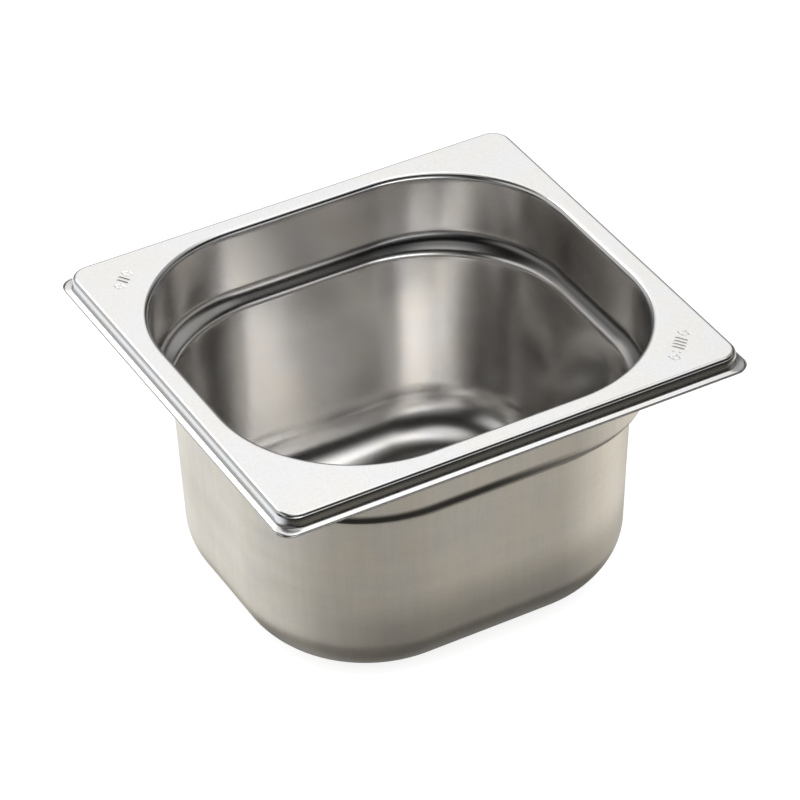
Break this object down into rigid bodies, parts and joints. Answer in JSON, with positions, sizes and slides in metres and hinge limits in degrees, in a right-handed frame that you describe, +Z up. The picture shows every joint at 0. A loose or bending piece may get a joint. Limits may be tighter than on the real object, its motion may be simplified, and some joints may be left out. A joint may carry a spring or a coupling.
{
  "type": "deli food pan",
  "caption": "Rectangular pressed stainless food pan with a flat turned-down rim, a stacking shoulder below the neck, wide rounded corners and a rounded base.",
  "frame": {"origin": "middle of the underside of the base, on the surface the pan stands on", "axes": "+X along the 176 mm side of the rim, +Y along the 162 mm side, +Z up out of the mouth"},
  "size_m": [0.176, 0.162, 0.102],
  "materials": {
    "pan_steel": "satin"
  },
  "bodies": {
    "root": {"pan_shell": "pan_steel"}
  },
  "joints": []
}
